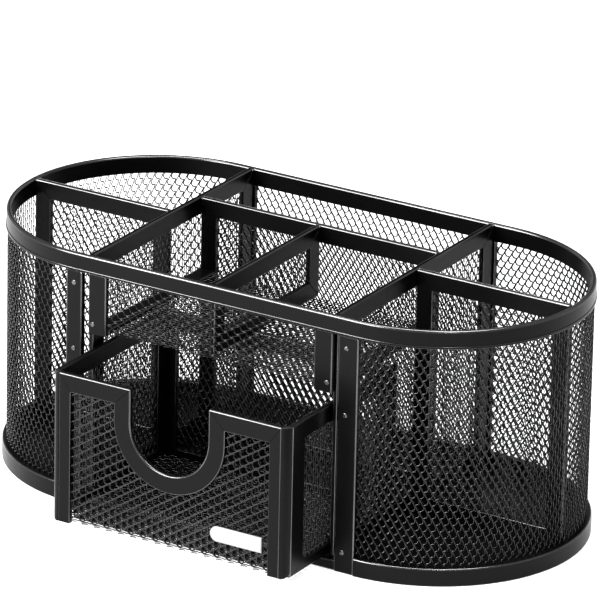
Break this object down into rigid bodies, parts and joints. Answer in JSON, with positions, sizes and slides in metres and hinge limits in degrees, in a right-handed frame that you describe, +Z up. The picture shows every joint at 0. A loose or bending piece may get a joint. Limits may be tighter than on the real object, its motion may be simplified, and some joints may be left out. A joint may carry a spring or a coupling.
{
  "type": "mesh desk organizer",
  "caption": "Wide desk caddy in black metal mesh with two round ends, upright cups, small trays and one pull-out drawer with a finger notch.",
  "frame": {"origin": "on the desk, under the middle of the tub, halfway between its two round ends and between its front and back", "axes": "+X to the right when facing the drawer, +Y from the drawer to the back of the tub, +Z up"},
  "size_m": [0.2388, 0.1435, 0.0995],
  "materials": {
    "steel": "black powder coat, half gloss",
    "mesh": "black powder coat on expanded metal",
    "welds": "black powder coat over small welds",
    "label": "satin blank plate"
  },
  "bodies": {
    "tub": {"rim_front": "steel", "rim_rear": "steel", "rim_left": "steel", "rim_right": "steel", "base_band": "steel", "front_sill": "steel", "left_post": "steel", "right_post": "steel", "rear_seams": "steel", "left_wall_mesh": "mesh", "rear_wall_mesh": "mesh", "right_wall_mesh": "mesh", "tub_floor": "steel", "left_divider_frame": "steel", "left_divider_mesh": "mesh", "right_divider_frame": "steel", "right_divider_mesh": "mesh", "left_cross_frame": "steel", "left_cross_mesh": "mesh", "right_cross_frame": "steel", "right_cross_mesh": "mesh", "centre_divider_frame": "steel", "centre_divider_mesh": "mesh", "tray_divider_frame": "steel", "tray_divider_mesh": "mesh", "left_panel_strip": "steel", "right_panel_strip": "steel", "front_panel_mesh": "mesh", "tray_strips": "steel", "tray_mesh": "mesh", "drawer_runners": "steel", "spot_welds": "welds"},
    "drawer": {"drawer_left_frame": "steel", "drawer_right_frame": "steel", "drawer_notch_trim": "steel", "drawer_front_mesh": "mesh", "drawer_left_side_frame": "steel", "drawer_right_side_frame": "steel", "drawer_left_side_mesh": "mesh", "drawer_right_side_mesh": "mesh", "drawer_back_frame": "steel", "drawer_back_mesh": "mesh", "drawer_floor_mesh": "mesh", "label_plate": "label"}
  },
  "joints": [
    {"name": "drawer_slide", "type": "slide", "parent": "tub", "child": "drawer", "axis": [0, -1, 0], "range_m": [-0.0252, 0.0248]}
  ]
}
